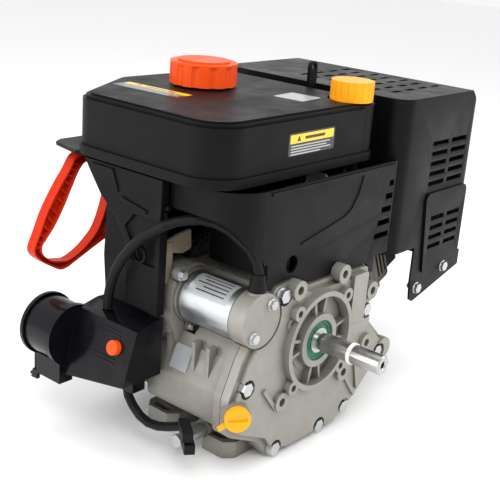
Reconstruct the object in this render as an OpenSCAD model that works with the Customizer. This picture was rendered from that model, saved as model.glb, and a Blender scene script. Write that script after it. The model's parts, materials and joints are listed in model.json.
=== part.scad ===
// Single-cylinder petrol engine for a snow thrower, with recoil and electric starting.
// Frame: +X toward the cylinder head, +Y toward the recoil starter, +Z up.
// The origin is where the crank axis meets the plane of the output mounting pads.

/* [Crank train] */
// Diameter of the output shaft
shaft_d = 19.05; // [18:0.05:20]
// How far the output shaft stands out of the pad plane
shaft_out = 70.6; // [60:0.1:85]
// Crank throw, half the stroke
throw = 27.5; // [26:0.5:28]
// Distance between the rod's two pin centres
rod_len = 84; // [83:0.5:86]
// Radius of the cylinder bore
bore_r = 35; // [34.5:0.1:35.5]
// Angle of the bore above horizontal
bore_tilt = 25; // [24:0.5:26]
// Position of the bore along the crank axis
bore_y = 74; // [73:0.5:75]
// Module of the timing gears
gear_m = 1.75; // [1.7:0.01:1.75]

/* [Crankcase] */
// Height of the crank axis above the base
crank_h = 112; // [112:0.5:114]
// Where the cover meets the crankcase
split_y = 22; // [22:0.5:23]
// Rear face of the crankcase
case_back = 120; // [120:1:121]
// Pitch circle of the inner tapped pad holes
pad_pcd = 107.2; // [106:0.1:108]
// Radius of the tapped pad holes
pad_hole_r = 3.4; // [3:0.1:3.5]
// Distance between the base slots across the engine
foot_pitch_x = 162; // [160:1:164]
// Distance between the base slots along the crank
foot_pitch_y = 75.6; // [75:0.1:76]

/* [Bodywork] */
// Left side of the fuel tank
tank_x0 = -132; // [-134:1:-131]
// Right side of the fuel tank
tank_x1 = 108; // [106:1:108]
// Underside of the fuel tank
tank_z0 = 160; // [160:1:161]
// Top of the fuel tank
tank_z1 = 217; // [214:1:219]
// Left face of the muffler guard
guard_x0 = 127; // [127:1:128]
// Right face of the muffler guard
guard_x1 = 285; // [283:1:288]
// Top of the muffler guard
guard_z1 = 218; // [216:1:220]

/* [Electric starter] */
// Starter axis to the left of the crank axis
starter_x = -85; // [-85.2:0.1:-84.8]
// Radius of the starter's steel can
starter_r = 25; // [24.5:0.1:25.5]

/* [Hidden] */
$fn = 48;
eps = 0.01;
run_gap = 0.03;

shaft_r = shaft_d / 2;
base_z = -crank_h;
journal_r = 12.5;
ring_groove_y = -38.5;
seal_r = 20.6;
bearing_r = 26;
seal_y = 4.7;
bearing_y = 12;
rear_bearing_y = 103;
bearing_w = 15;
pin_r = 12;
wrist_r = 9;
tdc = throw + rod_len;
deck = tdc + 23.5;

crank_teeth = 22;
cam_teeth = 44;
ring_teeth = 96;
pinion_teeth = 12;
gear_y0 = 30;
gear_y1 = 38;
cam_dist = gear_m * (crank_teeth + cam_teeth) / 2;
cam_dir = bore_tilt - 90;
gov_dir = cam_dir + 180 + 9.5 * 360 / cam_teeth;
cam_x = cam_dist * cos(cam_dir);
cam_z = cam_dist * sin(cam_dir);
gov_x = cam_x + cam_dist * cos(gov_dir);
gov_z = cam_z + cam_dist * sin(gov_dir);

starter_m = 1.75;
starter_dist = starter_m * (ring_teeth + pinion_teeth) / 2;
starter_z = sqrt(starter_dist * starter_dist - starter_x * starter_x);
starter_dir = atan2(starter_z, starter_x);
ring_y0 = 128;
ring_y1 = 138;
flywheel_r = 80;

foot_x = -77;
foot_y = 56;
foot_h = 17;

// Outline of the crankcase and its cover, seen from the front: x, z, corner radius.
case_outline = [
    [-29, -111, 8], [46, -111, 10], [81, -92, 8], [110, -68, 10], [138, -52, 12],
    [122, -30, 14], [98, -8, 10], [98, 18, 7], [89, 28, 5], [88, 54, 5], [26, 57, 8],
    [-12, 57, 10], [-34, 68, 8], [-62, 66, 6], [-76, 44, 8], [-102, 4, 10], [-117, -30, 10],
    [-116, -66, 12], [-70, -88, 8], [-58, -104, 8]
];
// Bolts that hold the cover: x, z.
cover_bolt_at = [
    [-49.6, -101], [20.7, -102], [62, -95], [-98, -22], [-53.6, 57.2], [117, -48], [86.5, 8]
];
// Outer mounting pads: x, z.
pad_at = [[-37, 60], [33, 60], [86.5, 30], [-50, -49.5], [86.5, -28], [49, -49.5]];

guard_y0 = 15;
guard_y1 = 260;
guard_bolt_at = [[193, 4], [247, 18]];
starter_screw_dirs = [-50, 130];
screw_circle = 17.5;
// Ears of the starter nose: direction, distance from the starter axis.
nose_ears = [[-130, 33], [-264, 31]];
nose_y = 89;
plug_at = [-110, 10, -43];

box_y0 = 98;
box_y1 = 178;
box_x = -150;
button_at = [-156.4, 119, -2.4];
socket_x = -156;
socket_z = -10;
socket_r = 29;
lid_y = 216;
hinge_z = -60;

// Route of the starter cable, from the strain relief to the switch box.
cable_pts = [
    [-85, 16, 77], [-85, 16, 85], [-85.5, 19, 94], [-87, 26, 104], [-90, 36, 111], [-94, 45, 118], [-100, 57, 123],
    [-108, 67, 125], [-116, 75, 124], [-124, 82, 122], [-132, 89, 118], [-137, 102, 109],
    [-139, 112, 100], [-140, 122, 89], [-141, 131, 77], [-141, 139, 64], [-140, 146, 49],
    [-139, 150, 34], [-138, 151, 22.5]
];
cable_end = cable_pts[len(cable_pts) - 1];
cable_r = 4.8;

// Route of the lead from the switch box down to the connectors.
harness_pts = [
    [-126, 134, -58], [-126, 132, -66], [-125, 126, -75], [-125, 116, -82], [-125, 104, -85],
    [-124, 92, -84], [-123, 80, -80], [-122, 68, -75], [-121, 60, -72]
];
harness_r = 4.5;

// --- helpers ---------------------------------------------------------------

// Extrudes an outline drawn in X and Z along Y.
module xz(y0, y1) translate([0, y1, 0]) rotate([90, 0, 0]) linear_extrude(y1 - y0) children();

// Extrudes an outline drawn in Y and Z along X.
module yz(x0, x1) translate([x0, 0, 0]) rotate([90, 0, 90]) linear_extrude(x1 - x0) children();

module cyl_y(r, y0, y1) translate([0, y0, 0]) rotate([-90, 0, 0]) cylinder(r = r, h = y1 - y0);

module cyl_x(r, x0, x1) translate([x0, 0, 0]) rotate([0, 90, 0]) cylinder(r = r, h = x1 - x0);

module at(x, z) translate([x, 0, z]) children();

module block(lo, hi) translate(lo) cube(hi - lo);

// Turns X onto the cylinder's axis.
module bore_frame() rotate([0, -bore_tilt, 0]) children();

module hex_bolt_y(af, head_y, head_h, shank_r, shank_y) {
    translate([0, head_y, 0]) rotate([-90, 0, 0]) cylinder(d = af / cos(30), h = head_h, $fn = 6);
    cyl_y(af / 2 + 1.5, head_y + head_h - 1.2, head_y + head_h);
    cyl_y(shank_r, head_y + head_h - 1, shank_y);
}

function unit(v) = v / norm(v);

// Points of one rounded corner at b, between a and c.
function corner(a, b, c, r, n) =
    let (u = unit(a - b), v = unit(c - b), half = acos(u * v) / 2)
    let (o = b + unit(u + v) * r / sin(half), s = b + u * r / tan(half) - o)
    let (e = b + v * r / tan(half) - o, a0 = atan2(s.y, s.x), d = atan2(e.y, e.x) - a0)
    let (turn = d > 180 ? d - 360 : d < -180 ? d + 360 : d)
    [for (k = [0:n]) o + r * [cos(a0 + turn * k / n), sin(a0 + turn * k / n)]];

function xy(p) = [p[0], p[1]];

// Outline with its corners rounded; each point is x, y, radius.
function rounded(p, n = 4) = [
    for (i = [0:len(p) - 1])
        let (a = p[(i + len(p) - 1) % len(p)], b = p[i], c = p[(i + 1) % len(p)])
        each (b[2] == 0 ? [xy(b)] : corner(xy(a), xy(b), xy(c), b[2], n))
];

// Outline moved inward by d, for an outline whose points run anticlockwise.
function inset(p, d) = [
    for (i = [0:len(p) - 1])
        let (a = xy(p[(i + len(p) - 1) % len(p)]), b = xy(p[i]), c = xy(p[(i + 1) % len(p)]))
        let (u = unit(b - a), v = unit(c - b), nu = [-u.y, u.x], nv = [-v.y, v.x])
        let (m = b + (nu + nv) * d / (1 + nu * nv))
        [m.x, m.y, max(p[i][2] - d, 1)]
];

// Points of a spur gear with n teeth of module m; slack is the flank relief in degrees.
function gear_points(n, m, slack) =
    let (rp = n * m / 2, rb = rp * cos(20), ra = rp + m, rf = rp - 1.25 * m)
    let (half = 90 / n - slack + tan(20) * 180 / PI - 20, low = max(rb, rf))
    let (t0 = sqrt(pow(low / rb, 2) - 1) * 180 / PI, t1 = sqrt(pow(ra / rb, 2) - 1) * 180 / PI)
    let (flank = [for (k = [0:3]) let (t = t0 + (t1 - t0) * k / 3) [
        rb * sqrt(1 + pow(t * PI / 180, 2)), t - atan(t * PI / 180) - half]])
    let (foot = [rf, flank[0][1]], side = rf < rb ? concat([foot], flank) : flank)
    [for (i = [0:n - 1], s = [0, 1], k = [0:len(side) - 1])
        let (q = side[s == 0 ? k : len(side) - 1 - k], a = i * 360 / n + (s == 0 ? q[1] : -q[1]))
        q[0] * [cos(a), sin(a)]];

// Gear around the Y axis with a tooth at the given direction.
module gear(n, m, y0, y1, dir, slack) {
    xz(y0, y1) rotate(dir) polygon(gear_points(n, m, slack));
}

// Tube along a list of points, as one closed skin.
function tangent(p, i) = unit(p[min(i + 1, len(p) - 1)] - p[max(i - 1, 0)]);
function side_of(t) = unit(cross(t, [0.92, 0.35, 0.17]));
module tube(p, r, n = 10) {
    rings = [for (i = [0:len(p) - 1]) let (t = tangent(p, i), s = side_of(t), w = cross(t, s))
        for (k = [0:n - 1]) p[i] + r * (s * cos(k * 360 / n) + w * sin(k * 360 / n))];
    walls = [for (i = [0:len(p) - 2], k = [0:n - 1])
        [i * n + k, (i + 1) * n + k, (i + 1) * n + (k + 1) % n, i * n + (k + 1) % n]];
    ends = [[for (k = [0:n - 1]) k], [for (k = [n - 1:-1:0]) (len(p) - 1) * n + k]];
    polyhedron(rings, concat(walls, ends));
}

// --- crankcase -------------------------------------------------------------

// One base lug with its slot along Y.
module foot(x, y, side) {
    y0 = y - 22;
    y1 = y + 20;
    reach = side < 0 ? -86 - x : 94 - x;
    inner = side < 0 ? 40 : -40;
    difference() {
        translate([0, 0, base_z]) linear_extrude(foot_h) polygon([
            [x + inner, y0], [x + reach - side * 10, y0], [x + reach, y0 + 8],
            [x + reach, y1 - 8], [x + reach - side * 10, y1], [x + inner, y1]
        ]);
        translate([x, y, base_z - 1]) {
            translate([-4.5, -6, 0]) cube([9, 12, foot_h + 2]);
            for (s = [-6, 6]) translate([0, s, 0]) cylinder(r = 4.5, h = foot_h + 2);
        }
    }
}

// Space behind the starter, cut out of the crankcase and its cover.
module starter_pocket(r, y0, y1) at(starter_x, starter_z) cyl_y(r, y0, y1);

module case_block() difference() {
    union() {
        xz(split_y + 0.8, 31) polygon(rounded(case_outline));
        xz(30, case_back) polygon(rounded(inset(case_outline, 4)));
        bore_frame() translate([0, bore_y, 0]) cyl_x(43, 30, 62);
    }
    starter_pocket(starter_r + 2, 10, nose_y + 6);
    bore_frame() block([62, 27.5, -57.5], [150, case_back + 1, 70]);
}

module case_space() difference() {
    union() {
        cyl_y(50.5, 30, case_back - 8);
        xz(split_y, 31) polygon(rounded(inset(case_outline, 12)));
        xz(30, case_back - 8) intersection() {
            polygon(rounded(inset(case_outline, 11)));
            translate([-62, -104]) square([168, 174]);
        }
    }
    starter_pocket(starter_r + 7, 10, case_back);
    bore_frame() block([54, 26.5, -63], [150, case_back, 80]);
}

module crankcase() color("#9d9a92") {
    difference() {
        union() {
            case_block();
            at(-98, -22) cyl_y(9, split_y + 0.8, 44);
            at(starter_x, starter_z) cyl_y(30, nose_y + 4, case_back);
            xz(nose_y + 3, case_back) polygon([[-100, -10], [-114, 20], [-114, 58], [-96, 71],
                [-50, 62], [-40, 0]]);
            for (p = cover_bolt_at) at(p[0], p[1]) cyl_y(8, split_y + 0.8, 38);
            translate([12, 42, 46]) cylinder(r = 13, h = 11);
            translate([0, 70, -92]) cyl_x(9, -84, -50);
            for (y = [46, 64, 96]) block([-109, y, -40], [-100, y + 4, 8]);
            block([-112, 95, 8], [-100, 108, 24]);
        }
        case_space();
        starter_pocket(starter_r + 2, 60, nose_y + 6);
        bore_frame() {
            translate([0, bore_y, 0]) cyl_x(bore_r + 2, 10, 70);
            for (y = [57, 91]) translate([0, y, -51]) cyl_x(7, 30, 64);
        }
        cyl_y(bearing_r, rear_bearing_y, rear_bearing_y + bearing_w);
        cyl_y(14, 90, case_back + 1);
        at(starter_x, starter_z) {
            cyl_y(16, 85, case_back + 1);
            for (e = nose_ears) rotate([0, e[0], 0]) {
                at(e[1], 0) cyl_y(7.5, 78, nose_y + 6.2);
                block([20, 77, -7.1], [e[1], nose_y + 6.1, 7.1]);
                at(e[1], 0) cyl_y(2.5, 85, 112);
            }
        }
        translate([12, 42, 40]) cylinder(r = 6.5, h = 20);
        translate([0, 70, -92]) cyl_x(6, -85, -40);
        for (p = cover_bolt_at) at(p[0], p[1]) cyl_y(4, split_y, 34);
    }
    difference() {
        union() {
            cyl_y(33, 101, case_back - 7);
            at(cam_x, cam_z) cyl_y(11, 104, case_back - 7);
        }
        cyl_y(bearing_r, rear_bearing_y, case_back);
        cyl_y(16.5, 90, case_back);
        at(cam_x, cam_z) cyl_y(6.5 + run_gap, 103, 112);
    }
    difference() {
        for (side = [-1, 1], row = [0, 1])
            foot(foot_x + (side + 1) / 2 * foot_pitch_x, foot_y + row * foot_pitch_y, side);
        translate([0, 70, -92]) cyl_x(8.6, -90, -60);
    }
}

// Pads, ring and lugs that a driven machine bolts to.
module pad_ring() {
    difference() {
        cyl_y(50, 0, 10);
        cyl_y(45, -1, 11);
    }
    for (a = [45:90:315]) rotate([0, a, 0]) at(pad_pcd / 2, 0) cyl_y(7.5, 0, 10);
    cyl_y(27, 2.5, 14);
    for (a = [12, 78, 102, 168, 192, 258, 282, 348]) rotate([0, a, 0])
        block([25, 5, -1.5], [46, 13, 1.5]);
    for (p = pad_at) at(p[0], p[1]) cyl_y(9.5, 3, 14);
}

module cover_shell() difference() {
    union() {
        xz(13, split_y) polygon(rounded(case_outline));
        difference() {
            xz(7, 14) polygon(rounded(inset(case_outline, 6)));
            cyl_y(46, 6, 12);
        }
        for (p = cover_bolt_at) at(p[0], p[1]) cyl_y(9, 13.5, split_y);
        xz(3, 15) polygon(rounded([[51, 3, 4], [75, 3, 4], [75, 54, 3], [51, 54, 3]]));
        at(125, -46) cyl_y(12, 5, 14);
        at(-42, 27) cyl_y(6.5, 5, 14);
        for (s = [[56, -58, 52], [-56, -56, 232], [72, -46, 75]]) at(s[0], s[1])
            rotate([0, s[2], 0]) block([0, 4.5, -2], [33, 8, 2]);
    }
    difference() {
        xz(17, split_y + 1) polygon(rounded(inset(case_outline, 13)));
        starter_pocket(starter_r + 7, 10, 30);
    }
    for (p = cover_bolt_at) at(p[0], p[1]) cyl_y(9.4, 0, 13);
    at(-42, 27) cyl_y(3, 0, 12);
    starter_pocket(starter_r + 2, -1, 30);
}

module crankcase_cover() color("#a8a59d") difference() {
    union() {
        cover_shell();
        pad_ring();
        cyl_y(33, 11, bearing_y + bearing_w);
        at(cam_x, cam_z) cyl_y(11, 12, 28);
        at(gov_x, gov_z) cyl_y(8, 12, 28);
        at(gov_x, gov_z) cyl_y(3, 15, 56);
        translate(plug_at) rotate([0, 0, -35]) cyl_y(13, -7, 5);
    }
    cyl_y(seal_r, -1, seal_y + 7);
    cyl_y(16, 0, 20);
    cyl_y(bearing_r, bearing_y, 30);
    at(cam_x, cam_z) cyl_y(6.5 + run_gap, 17, 30);
    for (a = [45:90:315]) rotate([0, a, 0]) at(pad_pcd / 2, 0) cyl_y(pad_hole_r, -1, 9);
    for (p = pad_at) at(p[0], p[1]) cyl_y(4.2, 0, 11);
    for (p = cover_bolt_at) at(p[0], p[1]) cyl_y(4, 5, 30);
    translate(plug_at) rotate([0, 0, -35]) cyl_y(8 + run_gap, -10, 3);
}

module cover_gasket() color("#3a3a36") difference() {
    xz(split_y, split_y + 0.8) polygon(rounded(case_outline));
    difference() {
        xz(split_y - 1, split_y + 2) polygon(rounded(inset(case_outline, 11)));
        starter_pocket(starter_r + 6, 10, 30);
    }
    starter_pocket(starter_r + 2, 10, 30);
    for (p = cover_bolt_at) at(p[0], p[1]) cyl_y(4.4, 20, 26);
}

module cover_bolts() color("#c8ccd2") {
    for (p = cover_bolt_at) at(p[0], p[1]) hex_bolt_y(12, 6.3, 6.5, 4, 33);
}

module ball_bearing(y0) {
    difference() {
        cyl_y(bearing_r, y0, y0 + bearing_w);
        cyl_y(journal_r, y0 - 1, y0 + bearing_w + 1);
        for (s = [y0 - 1, y0 + bearing_w - 1.5]) difference() {
            cyl_y(22, s, s + 2.5);
            cyl_y(17, s - 1, s + 4);
        }
    }
}

module front_bearing() color("#b9bec6") ball_bearing(bearing_y);

module rear_bearing() color("#b9bec6") ball_bearing(rear_bearing_y);

module oil_seal() color("#1f5a44") difference() {
    cyl_y(seal_r, seal_y, seal_y + 7);
    cyl_y(journal_r + run_gap, seal_y - 1, seal_y + 8);
    difference() {
        cyl_y(17.5, seal_y - 1, seal_y + 1.2);
        cyl_y(14.2, seal_y - 2, seal_y + 2);
    }
}

module oil_plug() color("#ffa40d") translate(plug_at) rotate([0, 0, -35]) {
    difference() {
        cyl_y(12, -12, -7);
        block([-9, -13, -1.6], [9, -10.5, 1.6]);
    }
    cyl_y(8, -8, 2);
    translate([-11, -10, -6]) rotate([0, -30, 0]) block([-7, 0, -2], [2, 3, 2]);
}

module drain_pipe() color("#c2c6c8") translate([0, 70, -92]) {
    cyl_x(5.95, -108, -62);
    cyl_x(7.5, -110, -88);
    translate([-122, 0, 0]) rotate([0, 90, 0]) cylinder(d = 13.8, h = 8, $fn = 6);
    cyl_x(8.5, -114.5, -109.5);
}

// --- cylinder --------------------------------------------------------------

module cylinder_barrel() color("#4a4a40") bore_frame() {
    difference() {
        union() {
            translate([0, bore_y, 0]) cyl_x(43, 62, deck);
            for (k = [0:7]) let (x = 66 + 9 * k, w = k > 5 ? 38 : 46)
                block([x, bore_y - w, -46], [x + 3, bore_y + 46, 50]);
            block([deck - 5, bore_y - 38, -57], [deck, bore_y + 40, 46]);
            block([62, 50, -57], [deck, 98, -38]);
        }
        translate([0, bore_y, 0]) cyl_x(bore_r, 61, deck + 1);
        for (y = [57, 91]) translate([0, y, -49]) cyl_x(6, 60, deck + 1);
        rotate([0, bore_tilt, 0]) for (p = cover_bolt_at) at(p[0], p[1]) cyl_y(9, 20, 39);
    }
}

module head_gasket() color("#5b5b55") bore_frame() difference() {
    block([deck, bore_y - 38, -57], [deck + 1, bore_y + 40, 46]);
    translate([0, bore_y, 0]) cyl_x(bore_r + 1, deck - 1, deck + 2);
    for (y = [57, 91]) translate([0, y, -49]) cyl_x(6, deck - 1, deck + 2);
}

module cylinder_head() color("#4f4f45") difference() {
    head_block();
    bar(pipe_bend, [178, 128, 112], 11.5);
}

module head_block() bore_frame() difference() {
    union() {
        block([deck + 1, bore_y - 38, -57], [deck + 8, bore_y + 40, 46]);
        block([deck + 1, bore_y - 34, -57], [deck + 28, bore_y + 34, 30]);
        for (k = [0:2]) block([deck + 11 + 6 * k, bore_y - 38, -46], [deck + 13.5 + 6 * k,
            bore_y + 40, 44]);
        translate([deck + 15, bore_y - 16, 28]) cylinder(r = 14, h = 22);
        translate([deck + 14, bore_y + 33, 0]) rotate([-90, 0, 0]) cylinder(r = 13, h = 13);
    }
    translate([0, bore_y, 0]) cyl_x(30, deck, deck + 6);
    for (y = [57, 91]) {
        translate([0, y, -49]) cyl_x(6, deck, deck + 30);
        translate([0, y, 4]) cyl_x(3 + run_gap, deck, deck + 30);
    }
    translate([deck + 15, bore_y - 16, 20]) cylinder(r = 10, h = 40);
    translate([deck + 15, bore_y + 25, 0]) rotate([-90, 0, 0]) cylinder(r = 10, h = 30);
    translate([0, bore_y, 20]) cyl_x(5, deck, deck + 20);
    translate([0, bore_y, 20]) cyl_x(11, deck + 16, deck + 30);
}

module rocker_cover() color("#26262a") bore_frame() difference() {
    union() {
        block([deck + 28, bore_y - 34, -57], [deck + 31, bore_y + 34, 13]);
        block([deck + 28, bore_y - 30, -55], [deck + 54, bore_y + 30, 11]);
    }
    block([deck + 27, bore_y - 28, -53], [deck + 52, bore_y + 28, 9]);
}

module spark_plug() color("#e8e4da") bore_frame() translate([0, bore_y, 20]) {
    cyl_x(5, deck + 4, deck + 20);
    translate([deck + 20, 0, 0]) rotate([0, 90, 0]) cylinder(d = 18, h = 8, $fn = 6);
    cyl_x(5.5, deck + 28, deck + 46);
}

module spark_plug_cap() color("#1c1c1e") bore_frame() translate([0, bore_y, 20]) difference() {
    union() {
        cyl_x(9, deck + 31, deck + 62);
        translate([deck + 54, 0, 0]) cylinder(r = 7, h = 26);
    }
    cyl_x(5.5, deck + 30, deck + 46);
}

module piston() color("#b4b6b8") bore_frame() translate([0, bore_y, 0]) difference() {
    union() {
        difference() {
            cyl_x(bore_r - 0.1, tdc - 20, tdc + 22);
            cyl_x(29, tdc - 21, tdc + 16);
        }
        for (s = [-1, 1]) translate([tdc, s * 20.5, 0]) rotate([90, 0, 0])
            cylinder(r = 13, h = 17, center = true);
    }
    translate([tdc, 0, 0]) rotate([90, 0, 0]) cylinder(r = wrist_r, h = 80, center = true);
    for (g = [5.5, 10, 14.5]) difference() {
        cyl_x(bore_r + 1, tdc + g, tdc + g + 2);
        cyl_x(31, tdc + g - 1, tdc + g + 3);
    }
}

module piston_rings() color("#3c3c40") bore_frame() translate([0, bore_y, 0]) {
    for (g = [5.5, 10, 14.5]) difference() {
        cyl_x(bore_r - 0.03, tdc + g, tdc + g + 2);
        cyl_x(31.2, tdc + g - 1, tdc + g + 3);
    }
}

module wrist_pin() color("#c9cdd3") bore_frame() translate([tdc, bore_y, 0]) rotate([90, 0, 0])
    difference() {
        cylinder(r = wrist_r, h = 58, center = true);
        cylinder(r = 5.5, h = 64, center = true);
    }

// --- moving crank train ----------------------------------------------------

module crank_web(y0, y1) {
    difference() {
        cyl_y(41, y0, y1);
        block([2, y0 - 1, -50], [50, y1 + 1, 50]);
    }
    xz(y0, y1) polygon([[0, -30], [throw, -15.5], [throw, 15.5], [0, 30]]);
    at(throw, 0) cyl_y(15.5, y0, y1);
}

module crankshaft() color("#c4c7cc") {
    difference() {
        union() {
            cyl_y(shaft_r, -shaft_out + 1, -5);
            translate([0, -shaft_out, 0]) rotate([-90, 0, 0])
                cylinder(r1 = shaft_r - 1, r2 = shaft_r, h = 1 + eps);
            cyl_y(8.6, -6, 4);
            cyl_y(journal_r, 3, bearing_y + bearing_w);
            cyl_y(15, bearing_y + bearing_w, 51);
            cyl_y(15, 97, rear_bearing_y);
            cyl_y(journal_r, rear_bearing_y - 1, 122);
            cyl_y(10, 121, 178);
        }
        rotate([0, 20, 0]) block([shaft_r - 2.6, -shaft_out - 1, -2.38], [20, -26, 2.38]);
        cyl_y(pad_hole_r, -shaft_out - 1, -shaft_out + 25);
        difference() {
            cyl_y(shaft_r + 1, ring_groove_y, ring_groove_y + 3.5);
            cyl_y(shaft_r - 0.3, ring_groove_y - 1, ring_groove_y + 5);
        }
        translate([0, -shaft_out - eps, 0]) rotate([-90, 0, 0]) cylinder(r1 = 4.6, r2 = 3.4, h = 1.2);
    }
    gear(crank_teeth, gear_m, gear_y0, gear_y1, cam_dir, 0.35);
    bore_frame() {
        crank_web(50, 62);
        crank_web(86, 98);
        at(throw, 0) cyl_y(pin_r, 61, 87);
    }
}

module pto_ring() color("#e6e8ea") difference() {
    cyl_y(shaft_r + 1, ring_groove_y, ring_groove_y + 3.5);
    cyl_y(shaft_r - 0.3, ring_groove_y - 1, ring_groove_y + 5);
}

module rod_half(x0, x1) {
    intersection() {
        block([x0, 60, -30], [x1, 90, 30]);
        difference() {
            union() {
                at(throw, 0) cyl_y(17, 64, 84);
                block([throw - 9, 67, -19.5], [throw + 9, 81, 19.5]);
            }
            at(throw, 0) cyl_y(pin_r + run_gap, 60, 90);
            for (s = [-1, 1]) translate([0, bore_y, s * 15.7]) cyl_x(2.4, 0, 50);
        }
    }
}

module connecting_rod() color("#a9abad") bore_frame() {
    rod_half(throw, throw + 30);
    difference() {
        block([throw + 14, 68, -5.5], [tdc, 80, 5.5]);
        at(tdc + throw, 0) cyl_y(throw + wrist_r + 0.4, 60, 90);
    }
}

module rod_cap() color("#98999c") bore_frame() {
    rod_half(throw - 30, throw);
    block([throw - 28, 71, -3], [throw - 16.5, 77, 3]);
    for (s = [-1, 1]) translate([0, bore_y, s * 15.7]) {
        cyl_x(2.4, throw - 10, throw + 9);
        translate([throw - 13, 0, 0]) rotate([0, 90, 0]) cylinder(d = 8.4, h = 4.1, $fn = 6);
    }
}

function lobe_points() = [for (a = [0:10:350])
    let (d = a > 180 ? a - 360 : a, lift = abs(d) < 60 ? 5 * pow(cos(1.5 * d), 2) : 0)
    (8.5 + lift) * [cos(a), sin(a)]];

module camshaft() color("#6e7074") {
    at(cam_x, cam_z) {
        cyl_y(6.5, 17.5, 111.5);
        xz(51, 61) rotate(bore_tilt + 130) polygon(lobe_points());
        xz(87, 97) rotate(bore_tilt + 230) polygon(lobe_points());
        gear(cam_teeth, gear_m, gear_y0, gear_y1, cam_dir + 180 + 180 / cam_teeth, 0.2);
    }
}

module governor_gear() color("#d8d2bc") at(gov_x, gov_z) difference() {
    union() {
        gear(crank_teeth, gear_m, gear_y0, gear_y1, gov_dir + 180 + 180 / crank_teeth, 0.35);
        cyl_y(9, gear_y1 - 1, 50);
        for (a = [0, 180]) rotate([0, a, 0]) block([8, gear_y1 - 1, -6], [15, 47, 6]);
    }
    cyl_y(3 + run_gap, 29, 60);
}

// Each push rod stands in its tappet.
module push_rods() color("#9fa2a6") bore_frame() for (y = [56, 92]) {
    translate([0, y, -52]) {
        cyl_x(7, 14.2, 17);
        cyl_x(4, 16, 40);
    }
    translate([39, y + (y < bore_y ? 1 : -1), -52]) rotate([0, -2.4, 0]) cyl_x(2.2, 0, deck + 0.5);
}

module rocker_arms() color("#85888c") bore_frame() for (y = [57, 91])
    difference() {
        union() {
            block([deck + 40.5, y - 4, -50], [deck + 46, y + 4, 7]);
            translate([deck + 43, y, -20]) rotate([90, 0, 0]) cylinder(r = 6, h = 9, center = true);
        }
        translate([deck + 43, y, -20]) rotate([90, 0, 0]) cylinder(r = 3.2, h = 12, center = true);
    }

module valves() color("#7a7c80") bore_frame() for (y = [57, 91]) translate([0, y, 4]) {
    cyl_x(12, deck + 1.8, deck + 4.5);
    cyl_x(3, deck + 4, deck + 40.5);
    cyl_x(4.8, deck + 30, deck + 36);
    cyl_x(4.8, deck + 36, deck + 39);
}

// --- flywheel side ---------------------------------------------------------

module flywheel() color("#77797c") difference() {
    union() {
        cyl_y(80, 128, 136);
        cyl_y(22, 124, 148);
        difference() {
            cyl_y(80, 126, 146);
            cyl_y(66, 120, 150);
        }
    }
    cyl_y(10, 120, 150);
    for (a = [0:60:300]) rotate([0, a, 0]) at(44, 0) cyl_y(9, 120, 150);
}

module ring_gear() color("#5e6064") difference() {
    gear(ring_teeth, starter_m, ring_y0, ring_y1, starter_dir, 0.12);
    cyl_y(flywheel_r, 120, 150, $fn = 180);
}

module cooling_fan() color("#2a2b2e") difference() {
    union() {
        cyl_y(80, 148, 151);
        for (a = [0:22.5:337.5]) rotate([0, a, 0]) block([38, 150, -1.5], [84, 170, 1.5]);
        cyl_y(38.5, 150, 154);
    }
    cyl_y(22, 140, 160);
}

module starter_cup() color("#8a8c90") {
    difference() {
        cyl_y(32, 154, 182);
        cyl_y(29, 157, 190);
        cyl_y(10, 150, 160);
        for (a = [0:60:300]) rotate([0, a, 0]) block([24, 166, -6], [36, 176, 6]);
    }
    difference() {
        translate([0, 157, 0]) rotate([-90, 0, 0]) cylinder(d = 27, h = 12, $fn = 6);
        cyl_y(10, 150, 180);
    }
    difference() {
        cyl_y(21.5, 148, 154.5);
        cyl_y(10, 140, 160);
    }
}

// --- bodywork --------------------------------------------------------------

// Outline of the fan shroud: x, z, corner radius.
shroud_outline = [
    [-104, -30, 20], [-84, -76, 30], [-30, -93.5, 30], [40, -93.5, 30], [88, -66, 30],
    [106, -20, 30], [108, 157, 4], [-108, 157, 4], [-112, 60, 20]
];

module blower_housing() color("#1d1e20") difference() {
    xz(case_back + 1, 188) polygon(rounded(shroud_outline, 5));
    intersection() {
        xz(case_back, 185) polygon(rounded(inset(shroud_outline, 3), 5));
        block([-120, 100, -120], [120, 190, 104]);
    }
    intersection() {
        xz(case_back, 185) polygon(rounded(inset(shroud_outline, 3), 5));
        block([-120, 100, 107], [120, 190, 154]);
    }
    cyl_y(60, 180, 200);
    block([40, 110, 20], [112, 130, 100]);
}

module recoil_housing() color("#1b1c1e") difference() {
    union() {
        cyl_y(84, 188, 196);
        cyl_y(78, 188, 222);
        cyl_y(60, 220, 228);
        at(rope_at[0], rope_at[1]) cyl_y(11, 190, 224);
    }
    cyl_y(75, 187, 218);
    cyl_y(57, 210, 225);
    at(rope_at[0], rope_at[1]) cyl_y(4, 205, 230);
    for (a = [15:30:345]) rotate([0, a, 0]) block([62, 215, -3], [74, 230, 3]);
}

// Loop of the recoil handle and the gap in it: x, z, corner radius.
handle_outline = [[-108, 152, 8], [-124, 136, 14], [-150, 97, 40], [-162, 72, 20], [-165, 58, 6],
    [-134, 36, 10], [-122, 36, 8], [-72, 55, 6], [-53, 58, 8], [-52, 84, 10], [-62, 124, 12],
    [-78, 152, 10]];
handle_hole = [[-100, 143, 5], [-112, 134, 8], [-129, 98, 40], [-154, 66, 6], [-152, 53, 7],
    [-131, 44, 9], [-109, 48, 12], [-85, 70, 14], [-72, 98, 14], [-76, 128, 12], [-86, 143, 6]];
handle_y0 = 228;
handle_y1 = 240;
rope_at = [-65, 66];

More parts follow.
